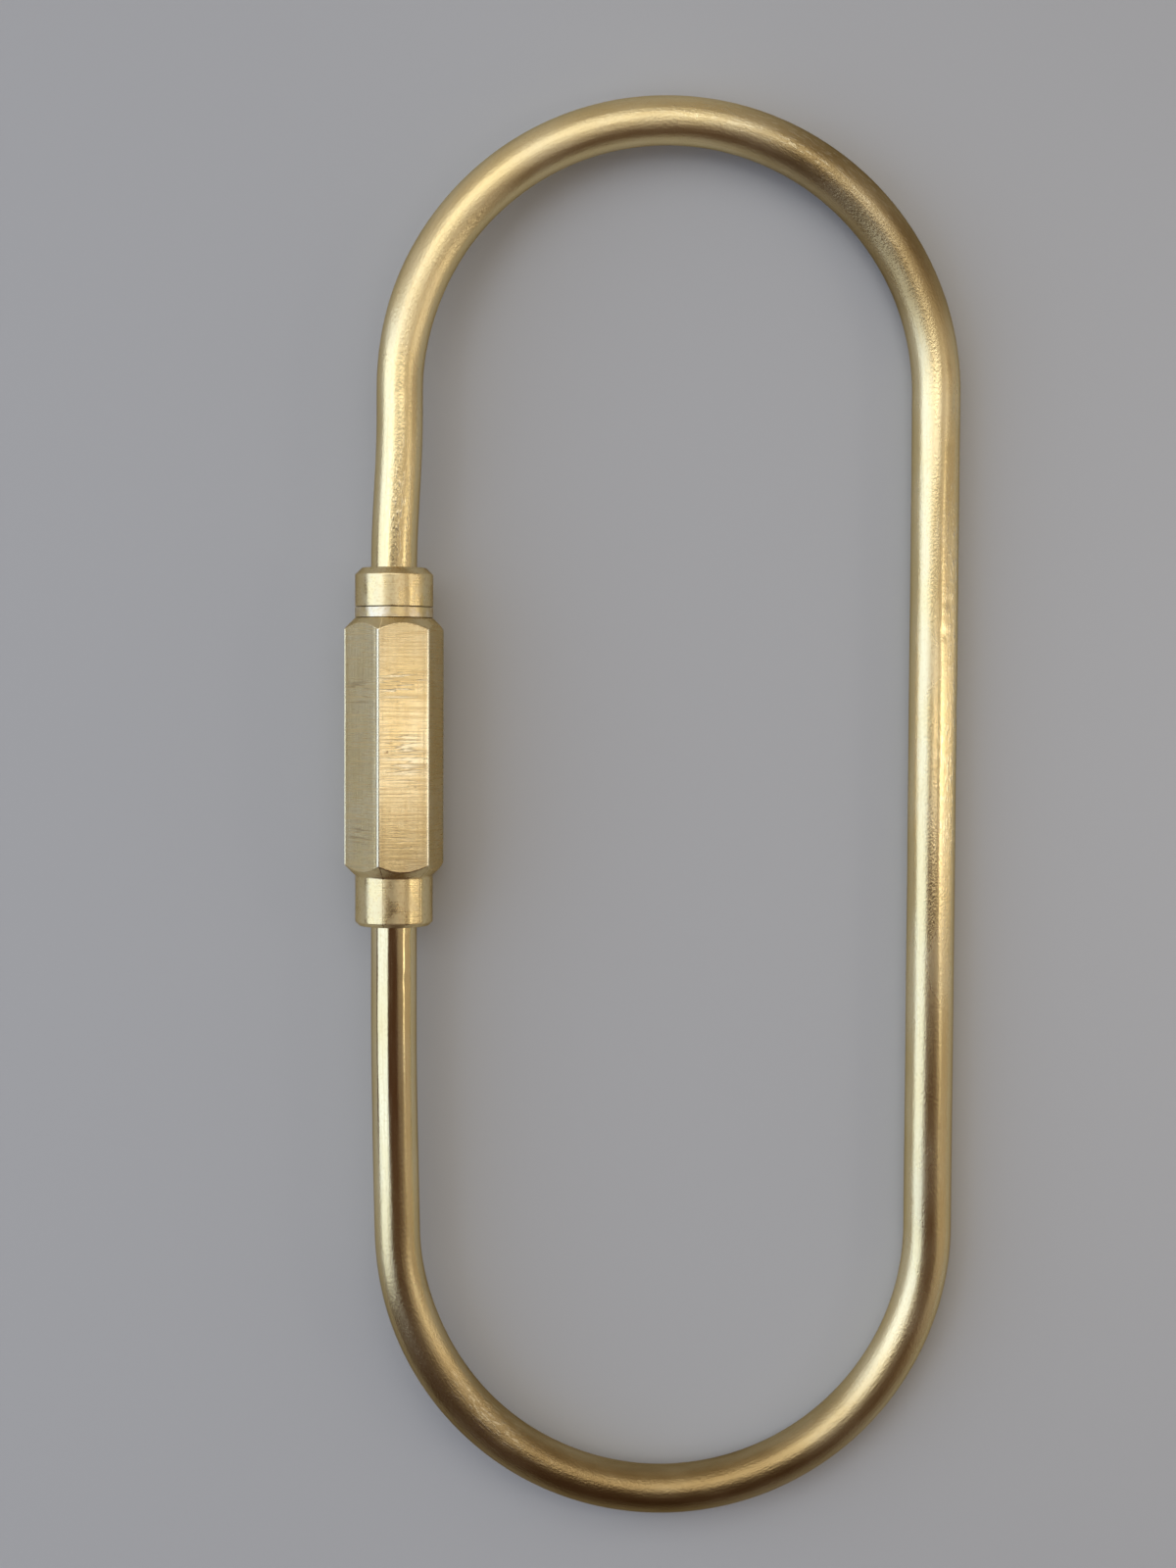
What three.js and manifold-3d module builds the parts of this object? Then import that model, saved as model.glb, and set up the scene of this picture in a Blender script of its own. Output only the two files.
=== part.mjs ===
// Carabiner keyring: a bent brass rod whose gate is closed by a hexagonal screw sleeve.
// Millimetres. +Z up, +Y along the ring toward its stop collar, the sleeve on the -X side.
// The ring lies as it rests on a table: on a corner of the sleeve and on the bare side of the rod.
import * as THREE from "three";
import { mergeVertices } from "three/addons/utils/BufferGeometryUtils.js";
import Module from "manifold-3d";

const wasm = await Module();
wasm.setup();

// ---- rod and ring ----
const rodDiameter = 3.0;
const turnedDiameter = 2.86; // the two ends next to the sleeve, as far as the bends
const halfWidth = 16.75; // ring centre to the centre of the rod, also the bend radius
const sideBow = 0.34; // the sleeve side stands out this much from a straight line
const bowAbove = [15.3, 24.5]; // heights over which the bow runs out toward the upper bend
const bowBelow = [12, 36]; // the same toward the lower bend, measured downward
const straightLength = 52.5; // each long side between its bends
const taperLength = 7.0; // the stretch of each bend over which the turned rod fills out
const rodSides = 24;
const bendSteps = 30;
const bowSteps = 4;

// ---- positions along the gate, measured from the lower face of the stop collar toward -Y ----
const gateTop = 12.84; // height of that face over the middle of the ring
const washerThickness = 0.62;
const lineWidth = 0.05; // the dark line between stop collar and washer
const sleeveTop = 0.7;
const hexLength = 16.03;
const sleeveCollarLength = 3.12;
const studEnd = 4.4; // where the upper threaded end stops
const lowerEnd = 8.8; // where the lower threaded end starts
const lowerThreadEnd = 19.5;
const shankLength = 1.0; // plain neck over the upper thread
const sleeveThreadStart = 1.5;
const sleeveThreadEnd = 10.8;

// ---- turned pieces ----
const collarDiameter = 4.85;
const stopCollarLength = 2.4;
const stopCollarChamfer = 0.42;
const sleeveCollarChamfer = 0.24;
const acrossFlats = 5.5;
const cornerRadius = 0.15;
const facetTurn = THREE.MathUtils.degToRad(18.8); // upper facet leans this far toward +X
const collarBore = turnedDiameter / 2 + 0.03;
const washerBore = turnedDiameter / 2 + 0.06;
const sleeveBore = turnedDiameter / 2 + 0.1;
const boreCountersink = 0.2;
const turnedSides = 48;
const boreSides = 32;

// ---- M3 x 0.5 thread ----
const pitch = 0.5;
const threadDepth = 0.3;
const threadClearance = 0.06;
const threadSides = 18;
const flankStart = 0.08; // the thread's profile, in shares of one pitch
const crestStart = 0.42;
const crestEnd = 0.58;
const flankEnd = 0.92;
const endChamfer = 0.3;
const shankRelief = 0.02; // keeps the plain neck just under the thread crest
const gateX = -halfWidth - sideBow;

// ---- solid modelling ----
const joinOverlap = 0.4; // how far joined shapes reach into one another
const cutBeyond = 1; // how far a cutting shape runs past what it cuts
const mergeDistance = 1e-5;
const cornerSteps = 3; // straight pieces in each rounded corner of the hexagon

// ---- the rest pose ----
const hexCorner = (acrossFlats / 2 - cornerRadius) / Math.cos(Math.PI / 6);
const lowestCorner = -Math.PI / 2 - facetTurn + Math.PI / 6;
const sleeveRest = cornerRadius - hexCorner * Math.sin(lowestCorner);
const restTilt = Math.asin((sleeveRest - rodDiameter / 2) / (halfWidth - gateX));

const gateY = (along) => gateTop - along;

// A closed three.js geometry as a solid body, facing out.
function solid(geometry) {
  const bare = new THREE.BufferGeometry();
  bare.setAttribute("position", geometry.getAttribute("position"));
  bare.setIndex(geometry.getIndex());
  const merged = mergeVertices(bare, mergeDistance);
  const points = merged.getAttribute("position");
  const index = merged.getIndex().array;
  const a = new THREE.Vector3();
  const b = new THREE.Vector3();
  const c = new THREE.Vector3();
  const triangles = [];
  let volume = 0;
  for (let i = 0; i < index.length; i += 3) {
    const [p, q, r] = [index[i], index[i + 1], index[i + 2]];
    if (p === q || q === r || r === p) continue;
    triangles.push([p, q, r]);
    a.fromBufferAttribute(points, p);
    b.fromBufferAttribute(points, q);
    c.fromBufferAttribute(points, r);
    volume += a.dot(b.cross(c));
  }
  const facing = volume > 0 ? triangles : triangles.map(([p, q, r]) => [p, r, q]);
  const mesh = new wasm.Mesh({
    numProp: 3,
    vertProperties: new Float32Array(points.array),
    triVerts: new Uint32Array(facing.flat()),
  });
  return new wasm.Manifold(mesh);
}

// A solid body back to a three.js geometry.
function geometryOf(body) {
  const mesh = body.getMesh();
  const geometry = new THREE.BufferGeometry();
  geometry.setAttribute("position", new THREE.BufferAttribute(mesh.vertProperties, 3));
  geometry.setIndex(new THREE.BufferAttribute(mesh.triVerts, 1));
  geometry.computeVertexNormals();
  return geometry;
}

// A turned body about Y. The profile is [radius, y] pairs that start and end on the axis or close.
function turned(profile, sides) {
  const points = profile.map(([radius, y]) => new THREE.Vector2(radius, y));
  return solid(new THREE.LatheGeometry(points, sides));
}

// A plain or chamfered round bar between two heights.
function bar(radius, bottom, top, sides, bottomChamfer = 0, topChamfer = 0) {
  const profile = [[0, bottom]];
  if (bottomChamfer > 0) profile.push([radius - bottomChamfer, bottom]);
  profile.push([radius, bottom + bottomChamfer]);
  profile.push([radius, top - topChamfer]);
  if (topChamfer > 0) profile.push([radius - topChamfer, top]);
  profile.push([0, top]);
  return turned(profile, sides);
}

// A right-hand helical body about Y from bottom to top, its root and crest moved out by `grow`.
// Every thread uses the same helix, so the sleeve's thread runs on both threaded ends.
function helix(bottom, top, grow) {
  const crest = turnedDiameter / 2 + grow;
  const root = crest - threadDepth;
  const profile = [
    [root, flankStart],
    [crest, crestStart],
    [crest, crestEnd],
    [root, flankEnd],
  ];
  const perTurn = profile.length;
  const firstTurn = Math.floor(bottom / pitch) - 2;
  const turns = Math.ceil(top / pitch) + 1 - firstTurn;
  const rows = turns * perTurn;
  const positions = [];
  const row = (side, j) => {
    const [radius, part] = profile[j % perTurn];
    const angle = (2 * Math.PI * side) / threadSides;
    const height = pitch * (firstTurn + Math.floor(j / perTurn) + part + side / threadSides);
    positions.push(radius * Math.sin(angle), height, radius * Math.cos(angle));
  };
  for (let side = 0; side < threadSides; side += 1) {
    for (let j = 0; j <= rows + perTurn; j += 1) row(side, j);
  }
  const stride = rows + perTurn + 1;
  const at = (side, j) => (side === threadSides ? j + perTurn : side * stride + j);
  const index = [];
  for (let side = 0; side < threadSides; side += 1) {
    for (let j = 0; j < rows; j += 1) {
      index.push(at(side, j), at(side + 1, j), at(side + 1, j + 1));
      index.push(at(side, j), at(side + 1, j + 1), at(side, j + 1));
    }
  }
  const low = positions.length / 3;
  const high = low + 1;
  positions.push(0, pitch * (firstTurn - 1), 0);
  positions.push(0, pitch * (firstTurn + turns + 2), 0);
  for (let side = 0; side < threadSides; side += 1) {
    index.push(low, at(side + 1, 0), at(side, 0));
    index.push(high, at(side, rows), at(side + 1, rows));
  }
  for (let j = 0; j < perTurn; j += 1) {
    index.push(low, j, j + 1);
    index.push(high, rows + j + 1, rows + j);
  }
  const geometry = new THREE.BufferGeometry();
  geometry.setAttribute("position", new THREE.Float32BufferAttribute(positions, 3));
  geometry.setIndex(index);
  return solid(geometry);
}

// The rod's centre line: up from the stud, over the top bend, down the bare side, round the lower
// bend and up to the lower threaded end. Steps fall where the shape changes.
class RingLine extends THREE.Curve {
  constructor(upperStart, lowerStop) {
    super();
    const half = straightLength / 2;
    const bend = Math.PI * halfWidth;
    const upper = half - upperStart;
    const lower = lowerStop + half;
    this.upperStart = upperStart;
    this.ends = [upper, bend, straightLength, bend, lower];
    const steps = (length, count) =>
      Array.from({ length: count }, (_, i) => (length * (i + 1)) / count);
    const above = bowAbove[0] - upperStart;
    const local = [
      [above, ...steps(upper - above, bowSteps).map((d) => above + d)],
      steps(bend, bendSteps),
      [straightLength],
      steps(bend, bendSteps),
      [...steps(half - bowBelow[0], bowSteps), lower],
    ];
    this.stations = [0];
    let start = 0;
    local.forEach((list, i) => {
      list.forEach((distance) => this.stations.push(start + distance));
      start += this.ends[i];
    });
  }

  getUtoTmapping(u) {
    return u;
  }

  getPoint(t, target = new THREE.Vector3()) {
    const last = this.stations.length - 1;
    const i = Math.min(Math.floor(t * last + 1e-9), last - 1);
    const between = t * last - i;
    const from = this.stations[i];
    return this.atDistance(from + (this.stations[i + 1] - from) * between, target);
  }

  atDistance(distance, target) {
    const half = straightLength / 2;
    const [upper, bend, side, lowerBend] = this.ends;
    let d = distance;
    if (d <= upper) return target.set(-halfWidth, this.upperStart + d, 0);
    d -= upper;
    if (d <= bend) {
      const angle = Math.PI - d / halfWidth;
      return target.set(halfWidth * Math.cos(angle), half + halfWidth * Math.sin(angle), 0);
    }
    d -= bend;
    if (d <= side) return target.set(halfWidth, half - d, 0);
    d -= side;
    if (d <= lowerBend) {
      const angle = -d / halfWidth;
      return target.set(halfWidth * Math.cos(angle), halfWidth * Math.sin(angle) - half, 0);
    }
    return target.set(-halfWidth, d - lowerBend - half, 0);
  }
}

// Narrow the sleeve side to the turned diameter. It fills out where each bend starts.
function slimEnds(points) {
  const half = straightLength / 2;
  const slim = turnedDiameter / rodDiameter;
  const point = new THREE.Vector3();
  const centre = new THREE.Vector3();
  for (let i = 0; i < points.count; i += 1) {
    point.fromBufferAttribute(points, i);
    if (point.x > 0) continue;
    const past = Math.max(0, Math.abs(point.y) - half);
    const angle = Math.atan2(past, -point.x);
    const onBend = Math.sign(point.y) * (half + halfWidth * Math.sin(angle));
    centre.set(-halfWidth * Math.cos(angle), past > 0 ? onBend : point.y, 0);
    const fullness = THREE.MathUtils.smoothstep(halfWidth * angle, 0, taperLength);
    point.sub(centre).multiplyScalar(slim + (1 - slim) * fullness).add(centre);
    points.setXYZ(i, point.x, point.y, point.z);
  }
}

// Bow the sleeve side outward. It stays straight wherever the sleeve runs.
function bowSleeveSide(points) {
  for (let i = 0; i < points.count; i += 1) {
    const x = points.getX(i);
    const y = points.getY(i);
    if (x > 0) continue;
    const [start, end] = y > 0 ? bowAbove : bowBelow;
    const shift = sideBow * (1 - THREE.MathUtils.smoothstep(Math.abs(y), start, end));
    points.setX(i, x - shift);
  }
}

function bentRod() {
  const line = new RingLine(gateY(0) + stopCollarLength / 2, gateY(lowerThreadEnd));
  const section = new THREE.Shape();
  for (let i = 0; i < rodSides; i += 1) {
    const angle = (2 * Math.PI * (i + 0.5)) / rodSides;
    const x = (rodDiameter / 2) * Math.cos(angle);
    const y = (rodDiameter / 2) * Math.sin(angle);
    if (i === 0) section.moveTo(x, y);
    else section.lineTo(x, y);
  }
  const geometry = new THREE.ExtrudeGeometry(section, {
    steps: line.stations.length - 1,
    extrudePath: line,
    bevelEnabled: false,
  });
  slimEnds(geometry.getAttribute("position"));
  bowSleeveSide(geometry.getAttribute("position"));
  return solid(geometry);
}

// What a threaded end is cut to: wider than its crest, with a cone at each chamfered end.
function threadEnvelope(bottom, top, chamferBottom, chamferTop) {
  const wide = turnedDiameter / 2 + endChamfer;
  const low = chamferBottom ? 2 * endChamfer : 0;
  const high = chamferTop ? 2 * endChamfer : 0;
  const profile = [
    [0, bottom],
    [wide - low, bottom],
    [wide, bottom + low],
    [wide, top - high],
    [wide - high, top],
    [0, top],
  ];
  const distinct = profile.filter(
    ([r, y], i) => i === 0 || r !== profile[i - 1][0] || y !== profile[i - 1][1],
  );
  return turned(distinct, rodSides);
}

// The threaded end under the stop collar, its plain neck reaching up into the rod.
function stud() {
  const radius = turnedDiameter / 2;
  const top = gateY(0) + stopCollarLength / 2;
  const neck = bar(radius - shankRelief, gateY(shankLength + joinOverlap), top + joinOverlap, rodSides);
  const envelope = threadEnvelope(gateY(studEnd), gateY(shankLength), true, false);
  const thread = helix(gateY(studEnd), gateY(shankLength), 0).intersect(envelope);
  return neck.add(thread);
}

// The long threaded end that carries the sleeve.
function lowerThread() {
  const bottom = gateY(lowerThreadEnd + joinOverlap);
  const envelope = threadEnvelope(bottom, gateY(lowerEnd), false, true);
  return helix(bottom, gateY(lowerEnd), 0).intersect(envelope);
}

function wireLoop() {
  const atGate = (body) => body.translate([gateX, 0, 0]);
  return bentRod().add(atGate(stud())).add(atGate(lowerThread()));
}

function stopCollar() {
  const radius = collarDiameter / 2;
  const top = gateY(-stopCollarLength);
  const ring = bar(radius, gateY(0), top, turnedSides, 0, stopCollarChamfer);
  const bore = bar(collarBore, gateY(cutBeyond), top + cutBeyond, boreSides);
  return ring.subtract(bore);
}

function thrustWasher() {
  const radius = collarDiameter / 2;
  const top = gateY(lineWidth);
  const bottom = top - washerThickness;
  const ring = bar(radius, bottom, top, turnedSides);
  const bore = bar(washerBore, bottom - cutBeyond, top + cutBeyond, boreSides);
  return ring.subtract(bore);
}

// Six facets with slightly rounded corners, standing along Y.
function hexBar(bottom, top) {
  const section = new THREE.Shape();
  for (let corner = 0; corner < 6; corner += 1) {
    const middle = (corner * Math.PI) / 3 + Math.PI / 6;
    for (let step = 0; step <= cornerSteps; step += 1) {
      const angle = middle + ((step / cornerSteps - 0.5) * Math.PI) / 3;
      const x = hexCorner * Math.cos(middle) + cornerRadius * Math.cos(angle);
      const y = hexCorner * Math.sin(middle) + cornerRadius * Math.sin(angle);
      if (corner + step === 0) section.moveTo(x, y);
      else section.lineTo(x, y);
    }
  }
  const prism = new THREE.ExtrudeGeometry(section, { depth: top - bottom, bevelEnabled: false });
  prism.rotateX(-Math.PI / 2);
  prism.rotateY(facetTurn - restTilt + Math.PI / 2);
  prism.translate(0, bottom, 0);
  return solid(prism);
}

function hexSleeve() {
  const top = gateY(sleeveTop);
  const hexBottom = gateY(sleeveTop + hexLength);
  const bottom = gateY(sleeveTop + hexLength + sleeveCollarLength);
  const collar = collarDiameter / 2;
  const wide = acrossFlats / 2 / Math.cos(Math.PI / 6);
  const chamfer = wide - collar; // a 45 degree chamfer from the collar's rim out past the corners
  const envelope = turned(
    [
      [0, hexBottom],
      [collar, hexBottom],
      [wide, hexBottom + chamfer],
      [wide, top - chamfer],
      [collar, top],
      [0, top],
    ],
    turnedSides,
  );
  const barrel = hexBar(hexBottom, top).intersect(envelope);
  const round = bar(collar, bottom, hexBottom + joinOverlap, turnedSides, sleeveCollarChamfer, 0);
  const thread = helix(gateY(sleeveThreadEnd), gateY(sleeveThreadStart), threadClearance);
  const threadLength = bar(
    sleeveBore,
    gateY(sleeveThreadEnd + joinOverlap),
    gateY(sleeveThreadStart - joinOverlap),
    rodSides,
  );
  const clearance = turned(
    [
      [0, bottom - cutBeyond],
      [sleeveBore + boreCountersink + cutBeyond, bottom - cutBeyond],
      [sleeveBore, bottom + boreCountersink],
      [sleeveBore, gateY(sleeveThreadEnd)],
      [0, gateY(sleeveThreadEnd) + sleeveBore],
    ],
    boreSides,
  );
  const mouth = turned(
    [
      [0, gateY(sleeveThreadStart) - sleeveBore],
      [sleeveBore, gateY(sleeveThreadStart)],
      [sleeveBore, top + cutBeyond],
      [0, top + cutBeyond],
    ],
    boreSides,
  );
  return barrel
    .add(round)
    .subtract(thread.intersect(threadLength))
    .subtract(clearance)
    .subtract(mouth);
}

const brass = {
  rod: { color: 0xc9a960, roughness: 0.36 },
  collar: { color: 0xcdb070, roughness: 0.3 },
  washer: { color: 0xd2bb84, roughness: 0.42 },
  sleeve: { color: 0xc4a765, roughness: 0.34 },
};

function piece(name, body, finish) {
  const material = new THREE.MeshStandardMaterial({ ...finish, metalness: 1 });
  const mesh = new THREE.Mesh(geometryOf(body), material);
  mesh.name = name;
  return mesh;
}

// Pieces on the gate's axis are built about Y and set at the gate's place in the ring.
function onGate(name, body, finish) {
  const mesh = piece(name, body, finish);
  mesh.position.x = gateX;
  return mesh;
}

const ring = new THREE.Group();
ring.name = "ring";
ring.add(piece("wire_loop", wireLoop(), brass.rod));
ring.add(onGate("stop_collar", stopCollar(), brass.collar));
ring.add(onGate("thrust_washer", thrustWasher(), brass.washer));
ring.add(onGate("hex_sleeve", hexSleeve(), brass.sleeve));
ring.rotation.y = restTilt;

// Set the origin at the middle of the footprint, on the surface the ring lies on.
const group = new THREE.Group();
group.name = "carabiner_keyring";
group.add(ring);
group.updateMatrixWorld(true);
const box = new THREE.Box3().setFromObject(group, true);
ring.position.set(-(box.min.x + box.max.x) / 2, -(box.min.y + box.max.y) / 2, -box.min.z);

export default group;
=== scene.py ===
import math

import bpy
import numpy as np
from mathutils import Matrix, Vector, noise


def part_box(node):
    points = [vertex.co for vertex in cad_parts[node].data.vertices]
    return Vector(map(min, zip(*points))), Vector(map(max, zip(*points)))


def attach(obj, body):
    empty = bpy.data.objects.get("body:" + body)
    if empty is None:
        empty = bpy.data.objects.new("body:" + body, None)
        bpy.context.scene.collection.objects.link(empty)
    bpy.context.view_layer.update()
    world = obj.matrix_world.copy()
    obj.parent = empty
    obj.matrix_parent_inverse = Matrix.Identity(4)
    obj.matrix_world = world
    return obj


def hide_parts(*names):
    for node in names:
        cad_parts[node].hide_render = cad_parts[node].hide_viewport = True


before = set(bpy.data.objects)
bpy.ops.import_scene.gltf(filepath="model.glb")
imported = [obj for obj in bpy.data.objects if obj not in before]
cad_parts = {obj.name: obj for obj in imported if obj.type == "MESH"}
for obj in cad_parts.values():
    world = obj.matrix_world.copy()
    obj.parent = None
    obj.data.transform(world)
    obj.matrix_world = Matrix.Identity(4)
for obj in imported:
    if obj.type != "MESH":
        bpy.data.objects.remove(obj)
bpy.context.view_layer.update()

# Lengths are millimetres in the ring's own axes: +Y along the gate toward its stop collar, +X from
# the gate across to the bare side, +Z out of the ring's plane. in_frame() takes them to the frame.
MM = 0.001
TAU = 2 * math.pi

# ---- sizes shared with the CAD model ----
ROD_RADIUS = 1.5
TURNED_RADIUS = 1.43      # of the rod's two turned ends
HALF_WIDTH = 16.75        # from the ring's middle to the rod's centre line, and the radius of the bends
SIDE_BOW = 0.34           # how far the gate's side bulges outward
BOW_ABOVE = (15.3, 24.5)  # distances from the ring's middle over which the bulge fades, upward
BOW_BELOW = (12.0, 36.0)  # and downward
STRAIGHT_LENGTH = 52.5
TAPER_LENGTH = 7.0        # the stretch of each bend over which the turned rod fills out
# Distances along the gate, down from the stop collar's lower face:
UPPER_END = 4.4
UPPER_THREAD_END = 1.0
LOWER_END = 8.8
LOWER_THREAD_END = 19.5
SLEEVE_THREAD = (1.5, 10.8)
# The rest of the pieces on the gate:
NECK_RADIUS = 1.41        # of the rod above its upper thread
HEX_LENGTH = 16.03
ACROSS_FLATS = 5.5
CORNER_RADIUS = 0.15
FACET_TURN = math.radians(18.8)
COLLAR_CHAMFER = 0.42
SLEEVE_COLLAR_CHAMFER = 0.24
COLLAR_BORE = 1.46
WASHER_BORE = 1.49
SLEEVE_BORE = 1.53
COUNTERSINK = 0.2

# ---- the M3 x 0.5 thread; the profile gives shares of a pitch ----
PITCH = 0.5
THREAD_DEPTH = 0.3
THREAD_CLEARANCE = 0.06
RUN_OUT = 0.25            # the length over which each of the rod's threads fades out
ROOT_FROM, CREST_FROM, CREST_TO, ROOT_TO = 0.08, 0.42, 0.58, 0.92

# ---- fineness of the meshes ----
ROD_COLUMNS = 64
TURNED_COLUMNS = 96
PLAIN_STEP = 0.3
THREAD_STEP = PITCH / 16
PAST_THREAD = 0.3         # how far the close rings of points go on past each of the rod's threads
EDGE = 0.035              # how far the soft edges of turned and sawn corners reach
CRISP_EDGE = 0.018

collar_low, collar_high = (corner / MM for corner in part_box("stop_collar"))
washer_low, washer_high = (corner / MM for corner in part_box("thrust_washer"))
sleeve_low, sleeve_high = (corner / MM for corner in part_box("hex_sleeve"))
GATE_TOP = collar_low.y
COLLAR_RADIUS = (washer_high.x - washer_low.x) / 2
gate_axis = Vector(((collar_low.x + collar_high.x) / 2, 0, (collar_low.z + collar_high.z) / 2))
GATE_X = -HALF_WIDTH - SIDE_BOW
rest_tilt = math.asin((gate_axis.z - ROD_RADIUS) / (HALF_WIDTH - GATE_X))
RING_TO_FRAME = (
    Matrix.Scale(MM, 4)
    @ Matrix.Translation(gate_axis)
    @ Matrix.Rotation(rest_tilt, 4, "Y")
    @ Matrix.Translation((-GATE_X, 0, 0))
)


def in_frame(points):
    """Millimetres in the ring's axes to metres in the frame."""
    turn = np.array(RING_TO_FRAME.to_3x3())
    return points @ turn.T + np.array(RING_TO_FRAME.translation)


def smoothstep(x, start, end):
    """0 before start, 1 past end, and a smooth rise in between."""
    share = np.clip((x - start) / (end - start), 0, 1)
    return share * share * (3 - 2 * share)


def between(x, start, end, fade_in, fade_out):
    """1 between start and end, fading away just inside them."""
    return smoothstep(x, start, start + fade_in) * (1 - smoothstep(x, end - fade_out, end))


def turned_from(angle, degrees):
    """The angle from the one given in degrees, between -pi and pi."""
    return (angle - math.radians(degrees) + math.pi) % TAU - math.pi


def gate_y(along):
    """The height of a place that is given along the gate, down from the stop collar."""
    return GATE_TOP - along


# ------------------------------------------------------------------ mesh building

def skin(name, points, lay, around, along, looped, marks):
    """A closed skin over rings of points, as one smooth mesh.

    points and lay are (rows, columns, 3): the shape, and the same point on the piece as a straight
    bar, which the materials read. around and along give the UV map. looped joins the last ring to
    the first; otherwise each end is closed with a fan. marks are further values for the materials.
    """
    rows, columns = points.shape[:2]
    row = np.arange(rows if looped else rows - 1)[:, None]
    column = np.arange(columns)[None, :]
    next_row = (row + 1) % rows
    next_column = (column + 1) % columns
    quads = np.stack(
        [
            row * columns + column,
            row * columns + next_column,
            next_row * columns + next_column,
            next_row * columns + column,
        ],
        axis=-1,
    ).reshape(-1, 4)
    vertices = points.reshape(-1, 3)
    places = lay.reshape(-1, 3)
    faces = quads.tolist()
    if not looped:
        last = (rows - 1) * columns
        low, high = len(vertices), len(vertices) + 1
        vertices = np.vstack([vertices, points[0].mean(0), points[-1].mean(0)])
        places = np.vstack([places, lay[0].mean(0), lay[-1].mean(0)])
        for j in range(columns):
            after = (j + 1) % columns
            faces.append([low, after, j])
            faces.append([high, last + j, last + after])
    vertices = in_frame(vertices)
    if volume_of(vertices, quads) < 0:
        faces = [face[::-1] for face in faces]
    mesh = bpy.data.meshes.new(name)
    mesh.from_pydata(vertices.tolist(), [], faces)
    mesh.shade_smooth()
    attribute = mesh.attributes.new("lay", "FLOAT_VECTOR", "POINT")
    attribute.data.foreach_set("vector", places.astype(np.float32).ravel())
    for label, values in marks.items():
        spread = np.zeros(len(vertices), np.float32)
        spread[: rows * columns] = np.broadcast_to(values, (rows, columns)).ravel()
        mesh.attributes.new(label, "FLOAT", "POINT").data.foreach_set("value", spread)
    add_uv(mesh, rows, columns, around, along)
    mesh.validate()
    mesh.update()
    piece = bpy.data.objects.new(name, mesh)
    bpy.context.scene.collection.objects.link(piece)
    return piece


def volume_of(vertices, quads):
    """Positive where the quads face outward. It grows with the volume inside them."""
    a, b, c, d = (vertices[quads[:, i]] for i in range(4))
    middle = vertices.mean(0)
    first = np.einsum("ij,ij->i", a - middle, np.cross(b - middle, c - middle))
    second = np.einsum("ij,ij->i", a - middle, np.cross(c - middle, d - middle))
    return (first + second).sum()


def add_uv(mesh, rows, columns, around, along):
    """U runs around the bar and V along it, in millimetres, without a jump at the seam."""
    corners = np.zeros(len(mesh.loops), np.int64)
    mesh.loops.foreach_get("vertex_index", corners)
    starts = np.zeros(len(mesh.polygons), np.int64)
    mesh.polygons.foreach_get("loop_start", starts)
    sides = np.zeros(len(mesh.polygons), np.int64)
    mesh.polygons.foreach_get("loop_total", sides)
    u = np.append(np.tile(around[:columns], rows), [0, 0])[corners]
    v = np.append(np.repeat(along, columns), [along[0], along[-1]])[corners]
    face = np.repeat(np.arange(len(starts)), sides)
    highest = np.maximum.reduceat(u, starts)[face]
    girth = around[columns]
    u = np.where(highest - u > girth / 2, u + girth, u)
    layer = mesh.uv_layers.new(name="bar")
    layer.data.foreach_set("uv", np.stack([u, v], -1).astype(np.float32).ravel())


def thread_height(part):
    """From 0 at the thread's root to 1 at its crest. part counts pitches along the bar."""
    part = part % 1
    rise = smoothstep(part, ROOT_FROM, CREST_FROM)
    fall = 1 - smoothstep(part, CREST_TO, ROOT_TO)
    return np.minimum(rise, fall)


def thread_radius(angle, y, grow=0.0):
    """The thread's radius at an angle and a height. grow makes the whole thread wider."""
    height = thread_height(y / PITCH - angle / TAU)
    return TURNED_RADIUS + grow - THREAD_DEPTH * (1 - height)


# ------------------------------------------------------------------ the rod

HALF = STRAIGHT_LENGTH / 2
BEND = math.pi * HALF_WIDTH
UPPER_SIDE = HALF - gate_y(UPPER_END)
LOWER_SIDE = gate_y(LOWER_END) + HALF
# The distances along the rod where the upper bend starts and ends and the lower one does.
BENDS_AT = np.cumsum([UPPER_SIDE, BEND, STRAIGHT_LENGTH, BEND])
ROD_LENGTH = BENDS_AT[-1] + LOWER_SIDE


def centre_line(distance):
    """The rod's centre line from the upper threaded end, over both bends, to the lower end."""
    top, right, low, left = BENDS_AT
    x = np.full_like(distance, -HALF_WIDTH)
    y = gate_y(UPPER_END) + distance
    over = (distance > top) & (distance <= right)
    angle = math.pi - (distance - top) / HALF_WIDTH
    x = np.where(over, HALF_WIDTH * np.cos(angle), x)
    y = np.where(over, HALF + HALF_WIDTH * np.sin(angle), y)
    bare = (distance > right) & (distance <= low)
    x = np.where(bare, HALF_WIDTH, x)
    y = np.where(bare, HALF - (distance - right), y)
    under = (distance > low) & (distance <= left)
    angle = -(distance - low) / HALF_WIDTH
    x = np.where(under, HALF_WIDTH * np.cos(angle), x)
    y = np.where(under, HALF_WIDTH * np.sin(angle) - HALF, y)
    y = np.where(distance > left, distance - left - HALF, y)
    above = smoothstep(np.abs(y), *BOW_ABOVE)
    below = smoothstep(np.abs(y), *BOW_BELOW)
    bow = SIDE_BOW * (1 - np.where(y > 0, above, below))
    return np.where(x < 0, x - bow, x), y


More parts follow.
